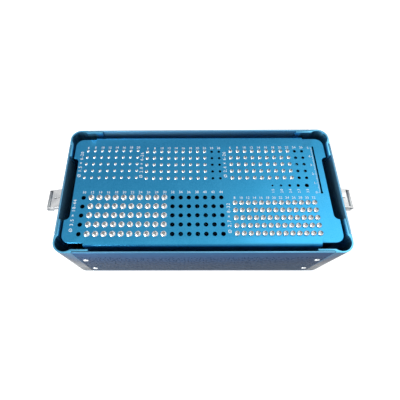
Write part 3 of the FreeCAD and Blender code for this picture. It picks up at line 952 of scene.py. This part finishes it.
# %% [markdown]
# ## Marked numbers
# A laser has marked the plate with pale figures: the length of the screws over each column, the
# diameter and the range of lengths up the side of each block, the diameters under the screw gauge and
# the centimetres along the slot. Each is a text object turned into a mesh, and all are joined into one
# thin piece. Only plain figures, signs and rules are marked.

# %% Numbers
mark_height = 0.04
digit_height = 2.5
digit_share = 0.7  # of the size of its type
marks = bmesh.new()
drawn = {}


def number_mesh(text, spacing):
    """Mesh of a number or a label, in type of size 1, centred on the origin."""
    if (text, spacing) not in drawn:
        curve = bpy.data.curves.new("number", "FONT")
        curve.body = text
        curve.align_x = "CENTER"
        curve.align_y = "CENTER"
        curve.resolution_u = 2
        curve.space_character = spacing
        curve.extrude = 0.5
        writer = bpy.data.objects.new("number", curve)
        drawn[text, spacing] = bpy.data.meshes.new_from_object(writer)
        bpy.data.objects.remove(writer)
        bpy.data.curves.remove(curve)
    return drawn[text, spacing]


def on_plate(x, y):
    """Matrix that carries a mark to its place on the plate."""
    return Matrix.Translation((x, y, plate_top + mark_height / 2))


def mark(text, x, y, height, turn=0.0, spacing=1.0):
    """Marks a number or a label on the plate."""
    start = len(marks.verts)
    marks.from_mesh(number_mesh(text, spacing))
    marks.verts.ensure_lookup_table()
    size = height / digit_share
    matrix = on_plate(x, y) @ Matrix.Rotation(math.radians(turn), 4, "Z")
    matrix = matrix @ Matrix.Diagonal((size, size, mark_height, 1))
    bmesh.ops.transform(marks, matrix=matrix, verts=marks.verts[start:])


def rule(x, y, width, height):
    """Marks a straight rule, centred on a place."""
    matrix = on_plate(x, y) @ Matrix.Diagonal((width, height, mark_height, 1))
    bmesh.ops.create_cube(marks, size=1, matrix=matrix)


# %% Mark the blocks and gauges
number_gap = 2.6  # from the edge of the heads up to the middle of the numbers
label_left = {1.5: 5.4, 2.0: 5.2, 2.4: 6.2, 2.7: 6.2, 3.5: 7.4}
label_height = 3.1
label_spacing = 1.25
for block in blocks:
    for column in range(block.columns):
        length = block.first_length + length_step * column
        number_y = block.back_y + block.head_radius + number_gap
        mark(f"{length:.0f}", block.left_x + column * block.pitch_x, number_y, digit_height)
    middle_y = block.back_y - (rows - 1) / 2 * block.pitch_y
    longest = block.first_length + length_step * (block.columns - 1)
    label = f"Ø {block.size} × {block.first_length}-{longest:.0f}"
    mark(label, block.left_x - label_left[block.size], middle_y, label_height, 90, label_spacing)

gauge_digit_height = 2.4
gauge_number_gap = 5.8  # from a test hole to its number
for index, block in enumerate(blocks):
    test_x = gauge_left + index * gauge_pitch
    mark(f"{block.size}", test_x, gauge_y - gauge_number_gap, gauge_digit_height, 90)

tick_gap = 0.5
tick_width = 0.25
ruler_number_gap = 4.9  # from the slot to its numbers
for step in range(int(ruler_length) - 1):
    tick = 2.0 if step % 10 == 0 else 1.4 if step % 5 == 0 else 0.9  # long at each centimetre
    rule(ruler_x - slot_half - tick_gap - tick / 2, ruler_zero_y + step, tick, tick_width)
for centimetre in range(6):
    number_y = ruler_zero_y + 10 * centimetre
    mark(f"{centimetre}", ruler_x - ruler_number_gap, number_y, gauge_digit_height)

keep("plate_marking", marks, [marking], "rack", "rack_aluminium")

# %% [markdown]
# ## Latches
# Each latch is brushed stainless sheet: a bracket with two ears and a stop, a lever that turns on the
# hinge pin, and a hook that swings on a second pin at the lever's end. The frame's sheet parts have the
# right folds, so softened copies of them serve. The slit in the lever reads as a thin dark line, so it
# is drawn in to half its width, and its walls have a nearly black painted shade. The lever's flanges
# have a darker painted shade. The pins are turned with peened ends and have a dark painted shade, and
# the rivets are the same blind rivets as on the panels.

# %% Latch pieces
latch_soft = 0.2
latch_rivet_across = 8.0
latch_rivet_drops = (6.9, 13.0)
bracket_sheet = 1.2
slit_half_width = 0.75
slit_draw_in = 0.5
pin_steps = 24


def lever(node):
    """Copy of a lever with its slit drawn in, painted shade on the slit's walls, and duller flanges
    darkened with painted shade.
    """
    mesh = softened_copy(node, latch_soft)
    for vert in mesh.verts:
        if abs(vert.co.y) < slit_half_width + latch_soft + 0.01:
            vert.co.y *= slit_draw_in
    # Faces across Y get painted shade: nearly black in the slit, darker on the flanges.
    for face in mesh.faces:
        middle = face.calc_center_median()
        if abs(face.normal.y) > 0.6:
            face.material_index = 1 if abs(middle.y) < slit_half_width else 2
    return mesh


def pin(node):
    """Turned pin with peened ends, lying along Y where the frame has its pin."""
    low, high = span(node)
    radius = (high.z - low.z) / 2
    reach = (high.y - low.y) / 2
    points = [
        (0, -reach), (0.6 * radius, -reach), (0.9 * radius, 0.15 - reach), (radius, 0.4 - reach),
        (radius, reach - 0.4), (0.9 * radius, reach - 0.15), (0.6 * radius, reach), (0, reach),
    ]
    mesh = turned(points, pin_steps)
    bmesh.ops.transform(mesh, matrix=facing((0, 1, 0), (low + high) / 2), verts=mesh.verts)
    return mesh


def latch_rivets(sign, hinge_height):
    """Rivets of one bracket, as a group."""
    face_x = sign * (half_length + bracket_sheet)
    matrices = []
    for y in (-latch_rivet_across, latch_rivet_across):
        for drop in latch_rivet_drops:
            matrices.append(facing((sign, 0, 0), (face_x, y, hinge_height - drop)))
    return copies(rivet(radius=1.8, height=0.8, stem_radius=0.5), matrices)


# %% Left and right latch
lever_finishes = [latch_steel, slit_painted_shade, flange_painted_shade]
for sign, side in ((-1, "left"), (1, "right")):
    low, high = span(f"{side}_hinge_pin")
    heads = latch_rivets(sign, (low.z + high.z) / 2)
    bracket = softened_copy(f"{side}_latch_bracket", latch_soft)
    pieces = (
        ("bracket_sheet", bracket, [latch_steel], "latch_bracket"),
        ("hinge_pin_turned", pin(f"{side}_hinge_pin"), [pin_painted_shade], "hinge_pin"),
        ("rivet_heads", heads, [rivet_metal], "latch_rivets"),
        ("lever_sheet", lever(f"{side}_lever"), lever_finishes, "lever"),
        ("hook_pin_turned", pin(f"{side}_hook_pin"), [pin_painted_shade], "hook_pin"),
        ("hook_sheet", softened_copy(f"{side}_hook", latch_soft), [hook_steel], "hook"),
    )
    carriers = {"lever": f"{side}_lever", "hook_pin": f"{side}_lever", "hook": f"{side}_hook"}
    for piece, mesh, finishes, node in pieces:
        slot = "rivet_aluminium" if node == "latch_rivets" else "latch_steel"
        keep(f"{side}_{piece}", mesh, finishes, carriers.get(node, "case"), slot, f"{side}_{node}")

# %% [markdown]
# ## Floor, studio and lamps
# The box stands on a wide white floor in a white studio. Anodised metal is a mirror for what stands
# round it, so the surroundings make its shades. The ceiling is white overhead and grey lower down, most
# of all at the left, because in the photograph the plate runs from deep blue at its back left to bright
# cyan at its front right. Below it is a band of grey wall, paler at the left, and from there down all is
# white. The floor glows only in what the camera and a mirror see, and more on the left. A large lamp
# over the right side casts the soft shadow, and a small one at the front left lights the posts.

# %% Floor
floor_half = 20.0  # metres
floor_drop = 0.0002  # metres, to keep the floor clear of the undersides of the feet
glow_left = 0.9
glow_right = 0.56
glow_turn = 0.2  # metres to each side of the middle, between which the glow changes
white = (1.0, 1.0, 1.0, 1.0)

floor_mesh = bmesh.new()
bmesh.ops.create_grid(floor_mesh, x_segments=1, y_segments=1, size=floor_half)
bmesh.ops.translate(floor_mesh, vec=(0, 0, -floor_drop), verts=floor_mesh.verts)
floor_data = bpy.data.meshes.new("floor")
floor_mesh.to_mesh(floor_data)
floor_mesh.free()
floor = bpy.data.objects.new("floor", floor_data)
bpy.context.scene.collection.objects.link(floor)

material, tree, shader, place = finish("painted_board_matt_floor", Roughness=0.9, Emission_Color=white)
paint = mixed(tree, noise(tree, place, 60.0, 2.0), linear("c9c9c9"), linear("cdcdcd"))
tree.links.new(paint, shader.inputs["Base Color"])
rays = add(tree, "ShaderNodeLightPath").outputs
seen = calculated(tree, "MAXIMUM", rays["Is Camera Ray"], rays["Is Glossy Ray"])
rightward = add(tree, "ShaderNodeSeparateXYZ", {"Vector": place}).outputs["X"]
glow = carried(tree, rightward, -glow_turn, glow_turn, glow_left, glow_right)
glow = calculated(tree, "MULTIPLY", seen, glow)
tree.links.new(glow, shader.inputs["Emission Strength"])
floor_data.materials.append(material)
print("floor glow, left and right:", glow_left, glow_right)

# %% Studio world
ceiling_low_left = (0.34, 0.36, 0.43, 1.0)
ceiling_overhead = (1.05, 1.08, 1.03, 1.0)
wall_left = (0.72, 0.72, 0.72, 1.0)
wall_right = (0.5, 0.5, 0.5, 1.0)
rightward_lean = 0.41  # how much the ceiling pales to the right, against how it greys forward and back

world = bpy.data.worlds.new("studio")
bpy.context.scene.world = world
world.use_nodes = True
tree = world.node_tree
background = tree.nodes["Background"]
way = add(tree, "ShaderNodeTexCoord").outputs["Generated"]
axes = add(tree, "ShaderNodeSeparateXYZ", {"Vector": way}).outputs
lean = calculated(tree, "MULTIPLY", axes["X"], rightward_lean)
lean = calculated(tree, "SUBTRACT", lean, calculated(tree, "ABSOLUTE", axes["Y"]))
ceiling = mixed(tree, carried(tree, lean, -0.7, -0.1), ceiling_low_left, ceiling_overhead)
wall = mixed(tree, carried(tree, axes["X"], -0.5, 0.5), wall_left, wall_right)
upper = mixed(tree, carried(tree, axes["Z"], 0.52, 0.7), wall, ceiling)
sky = mixed(tree, carried(tree, axes["Z"], 0.4, 0.52), white, upper)
tree.links.new(sky, background.inputs["Color"])
background.inputs["Strength"].default_value = 1.0
print("world:", world.name)

# %% Lamps


def lamp(name, place, size, power):
    """Square softbox, facing the middle of the box. Its place and size are in metres."""
    data = bpy.data.lights.new(name, "AREA")
    data.size = size
    data.energy = power
    light = bpy.data.objects.new(name, data)
    light.location = place
    aim = Vector((0, 0, case_height * MILLIMETRE)) - Vector(place)
    light.rotation_euler = aim.to_track_quat("-Z", "Y").to_euler()
    bpy.context.scene.collection.objects.link(light)
    return light


lamp("softbox_right", (0.75, 0.15, 0.95), size=0.8, power=2.6)
lamp("softbox_front_left", (-0.36, -0.4, 0.2), size=0.25, power=2.0)

# %% [markdown]
# ## View settings
# The Standard transform shows each colour about as it is written.

# %% Finish
bpy.context.scene.view_settings.view_transform = "Standard"
